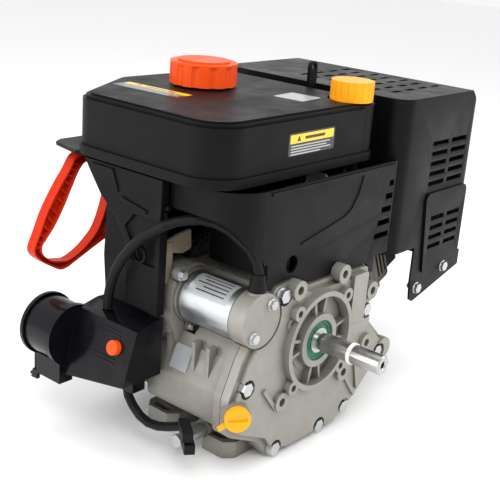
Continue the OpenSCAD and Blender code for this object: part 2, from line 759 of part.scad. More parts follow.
module recoil_handle() color("#d8321a") difference() {
    union() {
        xz(handle_y0, handle_y1) polygon(rounded(handle_outline, 5));
        at(rope_at[0], rope_at[1]) cyl_y(9, handle_y0, handle_y1 + 4);
    }
    xz(220, 250) polygon(rounded(handle_hole, 5));
    at(rope_at[0], rope_at[1]) cyl_y(5, handle_y1, handle_y1 + 5);
    for (k = [0:8]) translate([-119 - 4.4 * k, 0, 132 - 7.7 * k]) rotate([0, 30, 0])
        block([-5.2, handle_y0 - 1, -3.4], [5.2, handle_y0 + 8, 3.4]);
}

module recoil_rope() color("#17181a") at(rope_at[0], rope_at[1]) cyl_y(2.5, 208, handle_y0);

// Plan of the panel below the tank's front and left edges.
module front_shroud() color("#202124") difference() {
    union() {
        translate([0, 0, 44]) linear_extrude(114) difference() {
            polygon(rounded([[-118, 96, 0], [-118, 15, 36], [126, 15, 4], [126, 34, 0],
                [123, 34, 0], [123, 18, 0], [60, 18, 0], [-115, 18, 33], [-115, 96, 0]], 6));
        }
        block([-62, 16, 71], [-59, 96, 118]);
    }
    xz(0, 120) polygon([[-140, 30], [-74, 30], [-76, 58], [-80, 71], [-84, 88], [-92, 101],
        [-99, 112], [-106, 121], [-114, 129], [-118, 132], [-140, 132]]);
    xz(0, 40) polygon(rounded(inset(case_outline, -2.5)));
    for (p = cover_bolt_at) at(p[0], p[1]) cyl_y(11.5, 0, 30);
    starter_pocket(starter_r + 3, 0, 60);
    translate([starter_x, 16, 60]) cylinder(r = 11, h = 30);
    bar([-85, 16, 84], [-86, 30, 108], 7);
    at(-39, 83) cyl_y(8.5, 0, 40);
    for (k = [0:4]) block([113 - k * 4.5, 10, 133 - 13.5 * k], [121, 25, 139 - 13.5 * k]);
    block([100, 10, 30], [130, 70, 61]);
}

module side_shroud() color("#1e1f22") difference() {
    yz(-129, -119) polygon([[96, 28], [96, 157], [200, 157], [192, 146], [176, 126],
        [153, 108], [142, 90], [138, 30]]);
    yz(-130, -126) polygon([[102, 74], [102, 118], [130, 118], [142, 104], [134, 92], [132, 74]]);
    translate([-128, 118, 84]) cyl_x(9, -3, 4);
}

filler_x = 86;
filler_y = 54;
filler_r = 23;

tank_outline = [
    [tank_x0, 31, 35], [tank_x1, 31, 22], [tank_x1, 250, 20], [-40, 256, 30], [tank_x0, 206, 26]
];

module fuel_tank() color("#1f2022") {
    difference() {
        union() {
            translate([0, 0, tank_z0]) linear_extrude(9) polygon(rounded(inset(tank_outline, -2), 6));
            translate([0, 0, tank_z0 + 8]) linear_extrude(tank_z1 - tank_z0 - 13)
                polygon(rounded(tank_outline, 6));
            translate([0, 0, tank_z1 - 6]) linear_extrude(4) polygon(rounded(inset(tank_outline, 3)));
            translate([0, 0, tank_z1 - 3]) linear_extrude(3) polygon(rounded(inset(tank_outline, 7)));
            translate([4, 178, tank_z1 - 1]) cylinder(r = 28, h = 11);
        }
        translate([0, 0, tank_z0 + 3]) linear_extrude(tank_z1 - tank_z0 - 6) difference() {
            polygon(rounded(inset(tank_outline, 8)));
            translate([filler_x, filler_y]) circle(r = filler_r + 4);
        }
        translate([4, 178, tank_z1 - 5]) cylinder(r = 24, h = 30);
        translate([filler_x, filler_y, tank_z0 - 5]) cylinder(r = filler_r + 1, h = 80);
    }
    translate([0, 0, tank_z0 - 3]) linear_extrude(3.5)
        polygon([[-118, 200], [-130, 212], [-122, 250], [-112, 256], [-20, 256], [-20, 200]]);
}

// Round bar between two points.
module bar(a, b, r) {
    d = b - a;
    translate(a) rotate([0, acos(d.z / norm(d)), atan2(d.y, d.x)])
        rotate(40) cylinder(r = r, h = norm(d));
}

// Neck that carries the oil filler cap, down to the crankcase.
module oil_filler_tube() color("#202124") difference() {
    union() {
        translate([filler_x, filler_y, tank_z0 + 1]) cylinder(r = filler_r, h = tank_z1 - tank_z0 - 3);
        translate([filler_x, filler_y, tank_z1 - 3]) cylinder(r = 16, h = 12);
        translate([filler_x, filler_y, tank_z0 - 12]) cylinder(r = 14, h = 14);
        bar([12, 42, 66], [filler_x, filler_y, tank_z0 - 4], 9);
        translate([12, 42, 57]) cylinder(r = 11, h = 12);
    }
    translate([filler_x, filler_y, tank_z0 - 6]) cylinder(r = 11.6, h = 90);
    bar([12, 42, 64], [filler_x, filler_y, tank_z0 + 6], 6.4);
    translate([12, 42, 50]) cylinder(r = 6.5, h = 16);
}

module fuel_cap() color("#ff4a1c") translate([4, 178, tank_z1]) {
    difference() {
        translate([0, 0, 2]) cylinder(r = 33.5, h = 22);
        translate([0, 0, 1]) cylinder(r = 28.4, h = 14);
        for (a = [0:30:330]) rotate(a) translate([37.5, 0, 0]) cylinder(r = 6, h = 22);
    }
    translate([0, 0, 23]) cylinder(r = 26, h = 3);
    difference() {
        translate([0, 0, 4]) cylinder(r = 23.5, h = 12);
        translate([0, 0, 3]) cylinder(r = 20, h = 10);
    }
}

module oil_filler_cap() color("#ffa40d") translate([filler_x, filler_y, tank_z1]) {
    difference() {
        translate([0, 0, -0.5]) cylinder(r = 21.5, h = 19.5);
        translate([0, 0, -1.5]) cylinder(r = 16.4, h = 11.5);
        for (a = [0:20:340]) rotate(a) translate([23.5, 0, 2]) cylinder(r = 3, h = 20);
    }
    translate([0, 0, -2]) cylinder(r = 11.5, h = 14);
    translate([0, 0, -38]) cylinder(r = 3, h = 40);
}

// --- muffler ---------------------------------------------------------------

// Where the exhaust pipe turns above the head.
pipe_bend = [109.7, 58, 119.6];

module muffler() color("#3d3f42") {
    difference() {
        union() {
            block([160, 110, 136], [276, 246, 206]);
            block([156, 176, 132], [280, 180, 210]);
        }
        block([163, 113, 139], [273, 243, 203]);
    }
    difference() {
        exhaust_pipe(10, 0, 0.6);
        exhaust_pipe(7.6, 1, 0.4);
    }
}

// Bent pipe from the port on the head to the muffler's underside.
module exhaust_pipe(r, over, bulge) {
    bore_frame() translate([deck + 15, bore_y - 16, 50 - over]) cylinder(r = r, h = 12 + over);
    translate(pipe_bend) sphere(r = r + bulge);
    bar(pipe_bend, [178, 128, 112], r);
    translate([178, 128, 112]) sphere(r = r + bulge);
    translate([178, 128, 112]) cylinder(r = r, h = 24.2 + over);
}

guard_plan = [[guard_x0, guard_y1, 0], [guard_x0, guard_y0, 20], [guard_x1, guard_y0, 16],
    [guard_x1, guard_y1, 0]];

// A grid of horizontal slots through the guard's front wall.
module front_slots(x, z, w, rows) for (c = [0, 1], r = [0:rows - 1])
    block([x + c * (w + 7), 0, z + r * 11], [x + c * (w + 7) + w, 30, z + r * 11 + 5]);

module muffler_guard() color("#1f2023") difference() {
    union() {
        translate([0, 0, 10]) linear_extrude(guard_z1 - 10)
            polygon(rounded(guard_plan, 6));
        xz(12.5, 17) polygon(rounded([[200, 18, 6], [276, 30, 6], [276, 112, 8], [188, 112, 8]]));
        xz(15, 17) polygon([[180, 14], [183, -8], [190, -12], [285, 12], [285, 30], [180, 30]]);
    }
    translate([0, 0, 5]) linear_extrude(guard_z1 - 7) polygon(rounded(inset([
        [guard_x0, guard_y1 - 1, 0], [guard_x0, guard_y0, 20], [guard_x1, guard_y0, 16],
        [guard_x1, guard_y1 - 1, 0]], 2), 6));
    block([guard_x0 - 5, guard_y0 - 5, 0], [180, guard_y1 + 5, 53]);
    block([guard_x0 - 5, 35, 0], [200, guard_y1 + 5, 124]);
    block([140, 100, 0], [guard_x1 + 5, guard_y1 + 5, 60]);
    translate([guard_x0 - 3, 77, 120]) rotate([0, 90, 0]) cylinder(r = 14, h = 8);
    front_slots(191, 120, 32, 5);
    front_slots(203, 47, 27, 4);
    for (r = [0:3], c = [0:6]) block([158 + r * 26 - (c % 2) * 9, 50 + c * 20, 210],
        [174 + r * 26 - (c % 2) * 9, 56 + c * 20, 230]);
    for (c = [0:6], r = [0:4]) block([280, 70 + 24 * c, 120 + 12 * r], [290, 86 + 24 * c, 125 + 12 * r]);
    for (p = guard_bolt_at) at(p[0], p[1]) cyl_y(3.4, 10, 30);
    xz(0, 300) polygon([[262, 220], [300, 220], [300, 182]]);
}

// Small flanged screws: two in the guard, two in the starter's end cap, two in its nose.
module small_bolts() color("#c8ccd2") {
    for (p = guard_bolt_at) at(p[0], p[1]) hex_bolt_y(10, 10, 5, 3.3, 24);
    at(starter_x, starter_z) {
        for (a = starter_screw_dirs) rotate([0, a, 0]) at(screw_circle, 0)
            hex_bolt_y(8, 3, 5, 2.4, 24);
        for (e = nose_ears) rotate([0, e[0], 0]) at(e[1], 0)
            hex_bolt_y(8, nose_y - 5, 5, 2.4, 108);
    }
}

module lifting_eye() color("#1b1c1e") difference() {
    union() {
        block([110.5, 125, 150], [122.5, 129, 236]);
        translate([116.5, 0, 236]) cyl_y(6, 125, 129);
        block([110.5, 112, 146], [122.5, 129, 150]);
    }
    at(116.5, 236) cyl_y(3.6, 120, 135);
    translate([116.5, 118, 140]) cylinder(r = 3.3, h = 20);
}

// --- carburettor and controls ----------------------------------------------

module carburetor() color("#8f9296") bore_frame() difference() {
    union() {
        block([deck + 1, 120, -18], [deck + 29, 150, 16]);
        translate([deck + 15, 135, -34]) cylinder(r = 15, h = 18);
        translate([deck + 15, 150, 0]) rotate([-90, 0, 0]) cylinder(r = 17, h = 14);
    }
    translate([deck + 15, 110, 0]) rotate([-90, 0, 0]) cylinder(r = 10, h = 60);
}

module control_panel() color("#1d1e21") difference() {
    union() {
        block([110, 164, 20], [176, 206, 122]);
        block([112, 205, 24], [174, 210, 118]);
    }
    block([113, 160, 23], [173, 203, 119]);
    translate([128, 0, 96]) cyl_y(4 + run_gap, 190, 220);
    translate([158, 0, 96]) cyl_y(9.3, 190, 220);
}

module choke_knob() color("#1a1b1d") translate([128, 0, 96]) {
    cyl_y(4, 196, 214);
    cyl_y(12, 211, 216);
    block([-3.5, 215, -11], [3.5, 224, 11]);
}

module primer_bulb() color("#a3201a") translate([158, 0, 96]) {
    cyl_y(9, 204, 214);
    cyl_y(7, 213, 219);
}

// --- electric starter ------------------------------------------------------

module starter_end_cap() color("#aaa79f") at(starter_x, starter_z) difference() {
    union() {
        cyl_y(starter_r + 0.8, 8, 25);
        translate([0, 16, starter_r - 5]) cylinder(r = 8.9, h = 6.5);
    }
    cyl_y(starter_r - 3, 14, 26);
    cyl_y(4 + run_gap, 10, 20);
    for (a = starter_screw_dirs) rotate([0, a, 0]) at(screw_circle, 0) cyl_y(2.4, 5, 43);
}

module starter_can() color("#c5cbcb") at(starter_x, starter_z) difference() {
    cyl_y(starter_r, 25, nose_y);
    cyl_y(starter_r - 2, 24, nose_y + 1);
}

module starter_nose() color("#a3a098") at(starter_x, starter_z) difference() {
    union() {
        cyl_y(starter_r + 1.5, nose_y, nose_y + 6);
        for (e = nose_ears) rotate([0, e[0], 0]) {
            at(e[1], 0) cyl_y(6.5, nose_y + 0.2, nose_y + 5.8);
            block([18, nose_y + 0.5, -5.8], [e[1], nose_y + 5.5, 5.8]);
        }
        cyl_y(15.8, nose_y + 5, 121);
    }
    cyl_y(4 + run_gap, 80, 105);
    cyl_y(13.2, 103, 130);
    for (e = nose_ears) rotate([0, e[0], 0]) at(e[1], 0) cyl_y(2.5, 80, 120);
}

module starter_armature() color("#8a5a34") at(starter_x, starter_z) {
    cyl_y(4, 11, 146);
    cyl_y(20, 32, 82);
    cyl_y(12, 16, 27);
}

module starter_pinion() color("#6b6d70") at(starter_x, starter_z) difference() {
    union() {
        gear(pinion_teeth, starter_m, 110, 121, starter_dir + 180 + 180 / pinion_teeth, 0.6);
        cyl_y(8, 109, 122);
    }
    cyl_y(4 + run_gap, 100, 130);
}

module strain_relief() color("#151517") translate([starter_x, 16, starter_z + starter_r + 1.5]) {
    difference() {
        cylinder(r1 = 8.6, r2 = 6, h = 16);
        translate([0, 0, 8]) cylinder(r = cable_r + 0.3, h = 10);
    }
}

module starter_cable() color("#1a1a1c") tube(cable_pts, cable_r);

// Low-voltage lead from the switch box to its two connectors.
module harness() color("#141416") {
    tube(harness_pts, harness_r, 8);
    for (s = [0, 1]) translate([-121, 62 - 3 * s, -68 - 11 * s]) rotate([0, 0, -38])
        translate([-5, -30, -5]) cube([10, 30, 9]);
}

module socket_frame() translate([socket_x, 0, socket_z]) children();

module switch_box() color("#121317") {
    difference() {
        xz(box_y0, box_y1) polygon([[-170, -46], [box_x, 18], [-128, 23], [-118, 23],
            [-118, -46]]);
        xz(box_y0 + 3, box_y1 - 3) polygon([[-161.6, -29], [-147.6, 15], [-128, 20], [-121, 20],
            [-121, -29]]);
        yz(-180, -110) polygon([[box_y0 - 1, -60], [box_y0 - 1, -33], [box_y1 + 1, -46.2],
            [box_y1 + 1, -60]]);
        translate(button_at) rotate([0, 107.4, 0]) translate([0, 0, -12]) cylinder(r = 7.3, h = 20);
        translate([cable_end.x, cable_end.y, 19]) cylinder(r = cable_r + 0.4, h = 8);
    }
    socket_frame() difference() {
        union() {
            cyl_y(socket_r, box_y1 - 1, lid_y);
            cyl_y(socket_r + 2, box_y1 - 1, box_y1 + 5);
        }
        cyl_y(socket_r - 3, box_y1 + 6, lid_y + 1);
    }
    socket_frame() for (p = [[-9, 9], [9, 9], [0, -9]]) at(p[0], p[1]) cyl_y(2.4, box_y1 + 5, 200);
    block([-174, box_y1 - 1, hinge_z + 4], [-158, lid_y - 4, socket_z - 24]);
    for (x = [-174, -161.6]) {
        block([x, lid_y - 5, hinge_z - 3], [x + 3.6, lid_y + 2.3, hinge_z + 6]);
        translate([0, lid_y + 2.3, hinge_z]) cyl_x(3.5, x, x + 3.6);
    }
    block([-134, 118, -57], [-118, 150, -34]);
    block([-119, 122, -30], [-112.4, 160, 18]);
}

module start_button() color("#ff4a2a") translate(button_at) rotate([0, 107.4, 0]) {
    translate([0, 0, -5.5]) cylinder(r = 7, h = 8.9);
    translate([0, 0, 3.3]) cylinder(r = 9, h = 1.8);
}

module inlet_lid() color("#131418") {
    socket_frame() cyl_y(socket_r + 2.5, lid_y + 0.3, lid_y + 4.3);
    block([-170, lid_y + 0.3, hinge_z], [-162, lid_y + 4.3, socket_z - 20]);
    translate([0, lid_y + 2.3, hinge_z]) difference() {
        cyl_x(3.5, -170, -162);
        cyl_x(1.2, -171, -161);
    }
}

crankcase();
crankcase_cover();
cover_gasket();
cover_bolts();
front_bearing();
rear_bearing();
oil_seal();
cylinder_barrel();  // cylinder
head_gasket();
cylinder_head();
rocker_cover();
spark_plug();
spark_plug_cap();
piston();
piston_rings();
wrist_pin();
crankshaft();
pto_ring();
connecting_rod();
rod_cap();
camshaft();
governor_gear();
push_rods();
rocker_arms();
valves();
flywheel();
ring_gear();
cooling_fan();
starter_cup();
blower_housing();
recoil_housing();
recoil_handle();
recoil_rope();
front_shroud();
side_shroud();
fuel_tank();
fuel_cap();
oil_filler_cap();
oil_plug();
drain_pipe();
oil_filler_tube();
muffler();
muffler_guard();
small_bolts();
carburetor();
control_panel();
choke_knob();
primer_bulb();
starter_end_cap();
starter_can();
starter_nose();
starter_armature();
starter_pinion();
strain_relief();
starter_cable();
harness();
switch_box();
inlet_lid();
start_button();
lifting_eye();
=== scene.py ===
# Looks of the small gasoline engine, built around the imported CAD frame.
import json
import math

import bmesh
import bpy
from mathutils import Matrix, Vector


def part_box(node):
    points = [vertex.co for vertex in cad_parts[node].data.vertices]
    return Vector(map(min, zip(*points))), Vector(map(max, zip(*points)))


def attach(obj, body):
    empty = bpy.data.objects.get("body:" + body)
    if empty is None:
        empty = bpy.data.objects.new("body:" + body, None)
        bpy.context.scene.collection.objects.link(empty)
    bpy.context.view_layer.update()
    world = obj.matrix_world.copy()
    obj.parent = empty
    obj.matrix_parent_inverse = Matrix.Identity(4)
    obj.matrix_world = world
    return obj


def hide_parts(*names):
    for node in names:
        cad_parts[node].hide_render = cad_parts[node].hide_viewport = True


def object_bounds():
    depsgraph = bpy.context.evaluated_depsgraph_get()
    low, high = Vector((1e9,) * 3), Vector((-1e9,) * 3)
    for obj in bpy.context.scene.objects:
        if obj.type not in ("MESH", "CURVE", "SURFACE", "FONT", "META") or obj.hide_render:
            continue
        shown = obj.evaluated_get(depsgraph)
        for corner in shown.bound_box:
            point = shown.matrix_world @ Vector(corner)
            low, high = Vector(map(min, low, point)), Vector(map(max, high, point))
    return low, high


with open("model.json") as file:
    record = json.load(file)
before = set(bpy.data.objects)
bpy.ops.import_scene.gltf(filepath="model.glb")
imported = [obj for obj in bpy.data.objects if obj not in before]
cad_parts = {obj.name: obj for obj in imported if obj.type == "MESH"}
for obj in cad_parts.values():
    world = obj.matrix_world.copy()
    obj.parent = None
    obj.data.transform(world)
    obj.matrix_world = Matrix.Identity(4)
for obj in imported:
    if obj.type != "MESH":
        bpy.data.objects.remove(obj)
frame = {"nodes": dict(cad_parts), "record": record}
size_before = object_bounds()
NODES = frame["nodes"]
BODIES = frame["record"]["behaviour"]["bodies"]
MM = 0.001


def v(x, y, z):
    return Vector((x, y, z)) * MM


# ---------------------------------------------------------------- materials
def material(name, color, rough, metal=0.0, grain=0.0, scale=900.0, mottle=0.0, coat=0.0,
             painted_shade=0.0, rings=0.0, spec=0.5):
    """A procedural surface: uneven colour and roughness, painted shade darkening the colour in
    corners, and a fine bump.
    """
    m = bpy.data.materials.new(name)
    m.use_nodes = True
    nt = m.node_tree
    p = nt.nodes["Principled BSDF"]
    p.inputs["Base Color"].default_value = (*color, 1)
    p.inputs["Roughness"].default_value = rough
    p.inputs["Metallic"].default_value = metal
    p.inputs["Coat Weight"].default_value = coat
    p.inputs["Coat Roughness"].default_value = 0.12
    p.inputs["Specular IOR Level"].default_value = spec
    tc = nt.nodes.new("ShaderNodeTexCoord")

    def noise(s, detail=4.0):
        n = nt.nodes.new("ShaderNodeTexNoise")
        n.inputs["Scale"].default_value = s
        n.inputs["Detail"].default_value = detail
        nt.links.new(tc.outputs["Object"], n.inputs["Vector"])
        return n

    def spread(src, lo, hi, a, b):
        r = nt.nodes.new("ShaderNodeMapRange")
        for key, val in zip(("From Min", "From Max", "To Min", "To Max"), (lo, hi, a, b)):
            r.inputs[key].default_value = val
        nt.links.new(src.outputs[0], r.inputs["Value"])
        return r

    big = noise(38.0, 5.0)
    r = spread(big, 0.3, 0.7, max(rough - 0.07, 0.03), min(rough + 0.09, 1.0))
    nt.links.new(r.outputs[0], p.inputs["Roughness"])
    if mottle:
        mix = nt.nodes.new("ShaderNodeMix")
        mix.data_type = "RGBA"
        mix.inputs[6].default_value = (*[c * (1 - mottle) for c in color], 1)
        mix.inputs[7].default_value = (*[min(c * (1 + mottle), 1) for c in color], 1)
        f = spread(noise(75.0, 8.0), 0.35, 0.65, 0.0, 1.0)
        nt.links.new(f.outputs[0], mix.inputs[0])
        out = mix.outputs[2]
        if painted_shade:
            # Painted shade: where ambient occlusion finds corners and recesses, the base colour is
            # darkened towards a dim brown.
            ao = nt.nodes.new("ShaderNodeAmbientOcclusion")
            ao.samples = 6
            ao.inputs["Distance"].default_value = 0.012
            cr = nt.nodes.new("ShaderNodeMix")
            cr.data_type = "RGBA"
            k = 1 - painted_shade
            shade = [c * k * t for c, t in zip(color, (0.55, 0.5, 0.45))]
            cr.inputs[6].default_value = (*shade, 1)
            nt.links.new(ao.outputs["AO"], cr.inputs[0])
            nt.links.new(out, cr.inputs[7])
            out = cr.outputs[2]
        nt.links.new(out, p.inputs["Base Color"])
    height = None
    if grain:
        height = noise(scale, 3.0)
    if rings:
        w = nt.nodes.new("ShaderNodeTexWave")
        w.wave_type = "RINGS"
        w.rings_direction = "Y"
        w.inputs["Scale"].default_value = rings
        nt.links.new(tc.outputs["Object"], w.inputs["Vector"])
        height, grain = w, 0.04
    if height:
        b = nt.nodes.new("ShaderNodeBump")
        b.inputs["Strength"].default_value = min(grain * 2.0, 1.0)
        b.inputs["Distance"].default_value = 0.0004
        nt.links.new(height.outputs[0], b.inputs["Height"])
        nt.links.new(b.outputs[0], p.inputs["Normal"])
    return m


MAT = {
    "casting": material("cast_aluminium", (0.26, 0.25, 0.225),
        0.5, 0.45, 0.3, 1500, 0.07, painted_shade=0.15),
    "cover": material("cover_casting", (0.30, 0.29, 0.263), 0.46, 0.5, 0.26, 1700, 0.05, painted_shade=0.1),
    "machined": material("machined_steel", (0.46, 0.455, 0.45), 0.27, 1.0, rings=380, mottle=0.04),
    "steel": material("bright_steel", (0.70, 0.71, 0.73), 0.2, 1.0, 0.05, 500, 0.05),
    "zinc": material("zinc_plate", (0.52, 0.54, 0.55), 0.34, 1.0, 0.06, 700, 0.07),
    "dark_steel": material("dark_steel", (0.13, 0.13, 0.135), 0.42, 0.8, 0.1, 900, 0.1),
    "black_plastic": material("satin_black_plastic", (0.003, 0.003, 0.0037),
        0.42, 0, 0.3, 2300, 0.12, spec=0.12),
    "gloss_black": material("gloss_black_plastic", (0.003, 0.003, 0.0045),
        0.2, 0, 0.03, 500, 0.1, 0.06, spec=0.2),
    "black_sheet": material("black_sheet_metal", (0.003, 0.003, 0.0034),
        0.38, 0.0, 0.12, 1300, 0.1, 0.0, spec=0.12),
    "dark_casting": material("dark_head_casting", (0.085, 0.08, 0.062),
        0.6, 0.4, 0.35, 1400, 0.15, painted_shade=0.2),
    "orange_red": material("orange_red_plastic", (0.86, 0.078, 0.006),
        0.36, 0, 0.08, 1200, 0.04, spec=0.2),
    "amber": material("amber_plastic", (0.93, 0.36, 0.004), 0.32, 0, 0.06, 1200, 0.04, spec=0.25),
    "red": material("red_plastic", (0.55, 0.024, 0.003), 0.38, 0, 0.12, 1500, 0.06, spec=0.15),
    "seal_green": material("green_seal_rubber", (0.02, 0.16, 0.09), 0.5, 0, 0.1, 900, 0.08),
    "rubber": material("black_rubber", (0.0045, 0.0045, 0.005),
        0.5, 0, 0.15, 1600, 0.12, spec=0.16),
    "ceramic": material("white_ceramic", (0.82, 0.80, 0.75), 0.18, 0, 0.02, 300, 0.03, 0.3),
    "white_plastic": material("white_plastic", (0.80, 0.80, 0.78), 0.4, 0, 0.05, 900, 0.03),
    "gasket": material("dark_gasket", (0.045, 0.045, 0.04), 0.8, 0, 0.3, 1500, 0.15),
    "copper": material("copper_winding", (0.55, 0.22, 0.09), 0.4, 0.9, 0.2, 900, 0.15),
    "nylon": material("pale_nylon", (0.55, 0.53, 0.46), 0.45, 0, 0.08, 900, 0.06),
    "label": material("label_black", (0.012, 0.012, 0.012), 0.28, 0, 0.02, 200, 0.05, 0.2),
    "yellow": material("label_yellow", (0.86, 0.56, 0.01), 0.3, 0, 0.02, 200, 0.03, 0.2),
    "silver": material("silver_sticker", (0.42, 0.435, 0.45), 0.34, 0.35, 0.02, 200, 0.04),
    "grey_ink": material("pale_ink", (0.42, 0.42, 0.41), 0.45, 0, 0.02, 200, 0.05),
    "tan": material("cast_bracket", (0.20, 0.165, 0.115), 0.6, 0.3, 0.35, 1400, 0.15, painted_shade=0.2),
}

LOOK = {  # node: material, rounding of its edges in mm
    "crankcase": ("casting", 1.1), "crankcase_cover": ("cover", 0.9), "cover_gasket": ("gasket", 0),
    "cover_bolts": ("zinc", 0.5), "front_bearing": ("steel", 0.3), "rear_bearing": ("steel", 0.3),
    "oil_seal": ("seal_green", 0.4), "cylinder": ("dark_casting", 0.7),
    "head_gasket": ("gasket", 0), "cylinder_head": ("dark_casting", 0.8),
    "rocker_cover": ("black_sheet", 1.6), "spark_plug": ("ceramic", 0.3),
    "spark_plug_cap": ("rubber", 0.8), "piston": ("machined", 0), "piston_rings": ("dark_steel", 0),
    "wrist_pin": ("steel", 0), "crankshaft": ("machined", 0.35), "pto_ring": ("white_plastic", 0.3),
    "connecting_rod": ("casting", 0), "rod_cap": ("casting", 0), "camshaft": ("dark_steel", 0),
    "governor_gear": ("nylon", 0), "push_rods": ("steel", 0), "rocker_arms": ("dark_steel", 0),
    "valves": ("steel", 0), "flywheel": ("dark_casting", 0), "ring_gear": ("dark_steel", 0),
    "cooling_fan": ("black_plastic", 0), "starter_cup": ("dark_steel", 0),
    "blower_housing": ("black_plastic", 1.4), "recoil_housing": ("black_plastic", 1.2),
    "recoil_handle": ("red", 1.5), "recoil_rope": ("rubber", 0.4),
    "front_shroud": ("black_plastic", 0.9), "side_shroud": ("black_plastic", 1.4),
    "fuel_tank": ("black_plastic", 1.6), "fuel_cap": ("orange_red", 1.8),
    "oil_filler_cap": ("amber", 1.1), "oil_plug": ("amber", 0.8), "drain_pipe": ("zinc", 0.5),
    "oil_filler_tube": ("black_plastic", 1.0), "muffler": ("dark_steel", 1.2),
    "muffler_guard": ("black_sheet", 0.7), "small_bolts": ("zinc", 0.4),
    "carburetor": ("casting", 0.8), "control_panel": ("black_plastic", 1.5),
    "choke_knob": ("black_plastic", 1.0), "primer_bulb": ("red", 1.0),
    "starter_end_cap": ("cover", 1.2), "starter_can": ("zinc", 0.5),
    "starter_nose": ("casting", 0.9), "starter_armature": ("copper", 0),
    "starter_pinion": ("steel", 0), "strain_relief": ("rubber", 0.7),
    "starter_cable": ("rubber", 0), "harness": ("rubber", 0), "switch_box": ("gloss_black", 1.3),
    "inlet_lid": ("gloss_black", 0.9), "start_button": ("orange_red", 0.8),
    "lifting_eye": ("black_sheet", 0.8),
}
BODY_OF = {n: b for b, group in BODIES.items() for n in group}


# ---------------------------------------------------------------- helpers
EDGE_ANGLE = math.radians(32)  # edges sharper than this stay sharp and are rounded
PER_SPAN = 8  # points of a spline between two of its control points


def soften(me):
    """Smooth shading, with sharp edges kept sharp."""
    bm = bmesh.new()
    bm.from_mesh(me)
    for f in bm.faces:
        f.smooth = True
    for e in bm.edges:
        e.smooth = len(e.link_faces) == 2 and e.calc_face_angle(0) < EDGE_ANGLE
    bm.to_mesh(me)
    bm.free()


def bevel(obj, width):
    """Round the sharp edges by width mm."""
    b = obj.modifiers.new("edges", "BEVEL")
    b.width = width * MM
    b.segments = 2
    b.limit_method = "ANGLE"
    b.angle_limit = EDGE_ANGLE
    b.use_clamp_overlap = True
    b.harden_normals = True
    b.miter_outer = "MITER_ARC"


def piece(name, me, body, mat, width=0.0):
    """A finished piece: material, shading, rounded edges and body."""
    obj = bpy.data.objects.new(name, me)
    bpy.context.scene.collection.objects.link(obj)
    me.materials.clear()
    me.materials.append(MAT[mat])
    soften(me)
    if width:
        bevel(obj, width)
    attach(obj, body)
    return obj


# Dissolving flat faces with many holes tears them, so these keep their triangles.
MANY_HOLES = ("muffler_guard", "recoil_housing", "blower_housing", "cooling_fan")


def refine(node, mat, width):
    """A piece that stands for a CAD node: same shape, its edges rounded by width mm."""
    src = NODES[node]
    bm = bmesh.new()
    bm.from_mesh(src.data)
    bm.transform(src.matrix_world)
    bmesh.ops.remove_doubles(bm, verts=bm.verts, dist=2e-6)
    if node not in MANY_HOLES:
        bmesh.ops.dissolve_limit(bm, angle_limit=math.radians(0.6), verts=bm.verts, edges=bm.edges)
    me = bpy.data.meshes.new("look_" + node)
    bm.to_mesh(me)
    bm.free()
    obj = piece("look_" + node, me, BODY_OF[node], mat, width)
    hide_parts(node)
    return obj


def mesh_of(bm, name):
    me = bpy.data.meshes.new(name)
    bm.normal_update()
    bm.to_mesh(me)
    bm.free()
    return me


def slab(name, pts, origin, ux, uy, thick, body, mat, width=0.15, corner=0.0):
    """A thin plate: outline points in the plane (ux, uy), raised by thick along ux x uy."""
    ux, uy = Vector(ux).normalized(), Vector(uy).normalized()
    n = ux.cross(uy)
    o = Vector(origin)
    bm = bmesh.new()
    if corner:
        pts = [q for i in range(len(pts)) for q in round_corner(pts, i, corner)]
    low = [bm.verts.new((o + ux * a + uy * b) * MM) for a, b in pts]
    top = [bm.verts.new((o + ux * a + uy * b + n * thick) * MM) for a, b in pts]
    bm.faces.new(low[::-1])
    bm.faces.new(top)
    k = len(pts)
    for i in range(k):
        bm.faces.new((low[i], low[(i + 1) % k], top[(i + 1) % k], top[i]))
    return piece(name, mesh_of(bm, name), body, mat, width)


def round_corner(pts, i, r):
    """The points that round corner i of an outline."""
    b = Vector((*pts[i], 0))
    a = Vector((*pts[i - 1], 0))
    c = Vector((*pts[(i + 1) % len(pts)], 0))
    d = min(r, (a - b).length / 2.1, (c - b).length / 2.1)
    p, q = b + (a - b).normalized() * d, b + (c - b).normalized() * d
    out = []
    for k in range(6):
        t = k / 5
        s = p * (1 - t) ** 2 + b * 2 * t * (1 - t) + q * t * t
        out.append((s.x, s.y))
    return out


def spline(a, b, c, d, t):
    """A point between b and c, at t from 0 to 1, of the smooth curve through all four."""
    return 0.5 * (2 * b + (c - a) * t + (2 * a - 5 * b + 4 * c - d) * t * t
                  + (3 * b - a - 3 * c + d) * t ** 3)


def wire(name, pts, r, body, mat, sides=16):
    """A round lead through points, smoothed by a spline."""
    P = [Vector(p) for p in pts]
    path = []
    for i in range(len(P) - 1):
        a, b = P[max(i - 1, 0)], P[i]
        c, d = P[i + 1], P[min(i + 2, len(P) - 1)]
        path += [spline(a, b, c, d, k / PER_SPAN) for k in range(PER_SPAN)]
    path.append(P[-1])
    bm = bmesh.new()
    rings = []
    up = Vector((0.3, 0.2, 0.93))
    for i, p in enumerate(path):
        t = (path[min(i + 1, len(path) - 1)] - path[max(i - 1, 0)]).normalized()
        up = (up - t * up.dot(t)).normalized()
        w = t.cross(up)
        rings.append([bm.verts.new((p + (up * math.cos(q) + w * math.sin(q)) * r) * MM)
                      for q in [2 * math.pi * s / sides for s in range(sides)]])
    for a, b in zip(rings, rings[1:]):
        for s in range(sides):
            bm.faces.new((a[s], a[(s + 1) % sides], b[(s + 1) % sides], b[s]))
    bm.faces.new(rings[0][::-1])
    bm.faces.new(rings[-1])
    bmesh.ops.recalc_face_normals(bm, faces=bm.faces)
    return piece(name, mesh_of(bm, name), body, mat)


